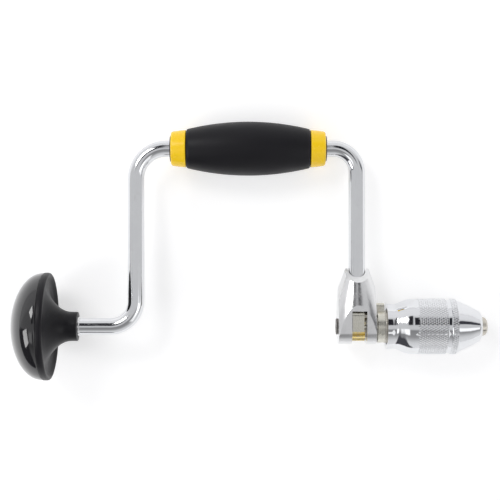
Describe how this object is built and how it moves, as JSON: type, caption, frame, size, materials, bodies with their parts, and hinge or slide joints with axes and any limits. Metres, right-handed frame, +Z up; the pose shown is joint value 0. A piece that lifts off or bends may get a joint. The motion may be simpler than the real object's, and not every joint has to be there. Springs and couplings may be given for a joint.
{
  "type": "ratchet hand brace",
  "caption": "Bow-shaped hand drill: mushroom head, cranked rod with a turning grip, reversible ratchet and a jaw chuck with a knurled shell.",
  "frame": {"origin": "centre of the jaw grip's mouth, at the tips of the closed jaws", "axes": "+X along the spindle and out of the chuck, +Y from the spindle toward the sweep handle, +Z up when the brace lies on its back"},
  "size_m": [0.339, 0.1847, 0.077],
  "materials": {
    "chrome": "bright chrome plate on steel",
    "steel": "bare machined steel, slightly brown",
    "dark_steel": "blackened steel",
    "zinc_steel": "zinc plated steel with a faint iridescence",
    "golden_zinc": "yellow passivated zinc plate",
    "gloss_black": "polished black plastic",
    "satin_black": "satin black plastic",
    "yellow": "smooth yellow plastic"
  },
  "bodies": {
    "frame": {"crank_rod": "chrome", "ratchet_housing": "chrome", "pawl_pin_front": "steel", "pawl_pin_back": "steel", "pawl_spring_front": "steel", "pawl_spring_back": "steel", "selector_washer": "zinc_steel", "detent_ball": "steel", "detent_spring": "steel", "thrust_balls": "steel", "head_washer": "steel", "head_nut": "zinc_steel", "handle_collar": "steel"},
    "head": {"head_cap": "gloss_black", "head_skirt": "satin_black", "head_quill": "chrome", "head_screws": "zinc_steel"},
    "handle": {"handle_barrel": "satin_black", "handle_bush_chuck_end": "satin_black", "handle_bush_head_end": "satin_black", "handle_ring_chuck_end": "yellow", "handle_ring_head_end": "yellow"},
    "spindle": {"spindle": "steel", "ratchet_wheel": "golden_zinc", "wheel_key": "steel", "spindle_screw": "dark_steel", "jaw_spring": "steel"},
    "selector": {"selector_ring": "zinc_steel", "selector_cam": "steel", "selector_pin": "steel"},
    "front_pawl": {"pawl_front": "zinc_steel"},
    "back_pawl": {"pawl_back": "zinc_steel"},
    "thrust_ring": {"thrust_ring": "steel"},
    "shell": {"chuck_shell": "chrome"},
    "jaw_a": {"jaw_upper": "steel"},
    "jaw_b": {"jaw_lower": "steel"}
  },
  "joints": [
    {"name": "head_spin", "type": "hinge", "parent": "frame", "child": "head", "pos_m": [-0.31, 0, 0], "axis": [1, 0, 0], "continuous": true},
    {"name": "handle_spin", "type": "hinge", "parent": "frame", "child": "handle", "pos_m": [-0.17, 0.127, 0], "axis": [1, 0, 0], "continuous": true},
    {"name": "spindle_spin", "type": "hinge", "parent": "frame", "child": "spindle", "pos_m": [-0.0927, 0, 0], "axis": [1, 0, 0], "continuous": true},
    {"name": "selector_turn", "type": "hinge", "parent": "frame", "child": "selector", "pos_m": [-0.078, 0, 0], "axis": [1, 0, 0], "range_deg": [0, 50]},
    {"name": "front_pawl_lift", "type": "hinge", "parent": "frame", "child": "front_pawl", "pos_m": [-0.0927, 0.0079, 0.0114], "axis": [1, 0, 0], "range_deg": [-15, 0]},
    {"name": "back_pawl_lift", "type": "hinge", "parent": "frame", "child": "back_pawl", "pos_m": [-0.0927, 0.0079, -0.0114], "axis": [1, 0, 0], "range_deg": [-15, 0]},
    {"name": "ring_travel", "type": "slide", "parent": "spindle", "child": "thrust_ring", "axis": [1, 0, 0], "range_m": [0, 0.005]},
    {"name": "shell_turn", "type": "hinge", "parent": "thrust_ring", "child": "shell", "pos_m": [-0.038, 0, 0], "axis": [1, 0, 0], "range_deg": [0, 720]},
    {"name": "jaw_a_slide", "type": "slide", "parent": "spindle", "child": "jaw_a", "axis": [0, 0.9272, 0.3746], "range_m": [0, 0.00182]},
    {"name": "jaw_b_slide", "type": "slide", "parent": "spindle", "child": "jaw_b", "axis": [0, -0.9272, -0.3746], "range_m": [0, 0.00182]}
  ],
  "couplings": [
    {"joint": "front_pawl_lift", "follows": "selector_turn", "ratio": -0.3},
    {"joint": "back_pawl_lift", "follows": "selector_turn", "ratio": -0.3},
    {"joint": "ring_travel", "follows": "shell_turn", "m_per_rad": 0.00039789},
    {"joint": "jaw_a_slide", "follows": "shell_turn", "m_per_rad": 0.00014482},
    {"joint": "jaw_b_slide", "follows": "shell_turn", "m_per_rad": 0.00014482}
  ]
}
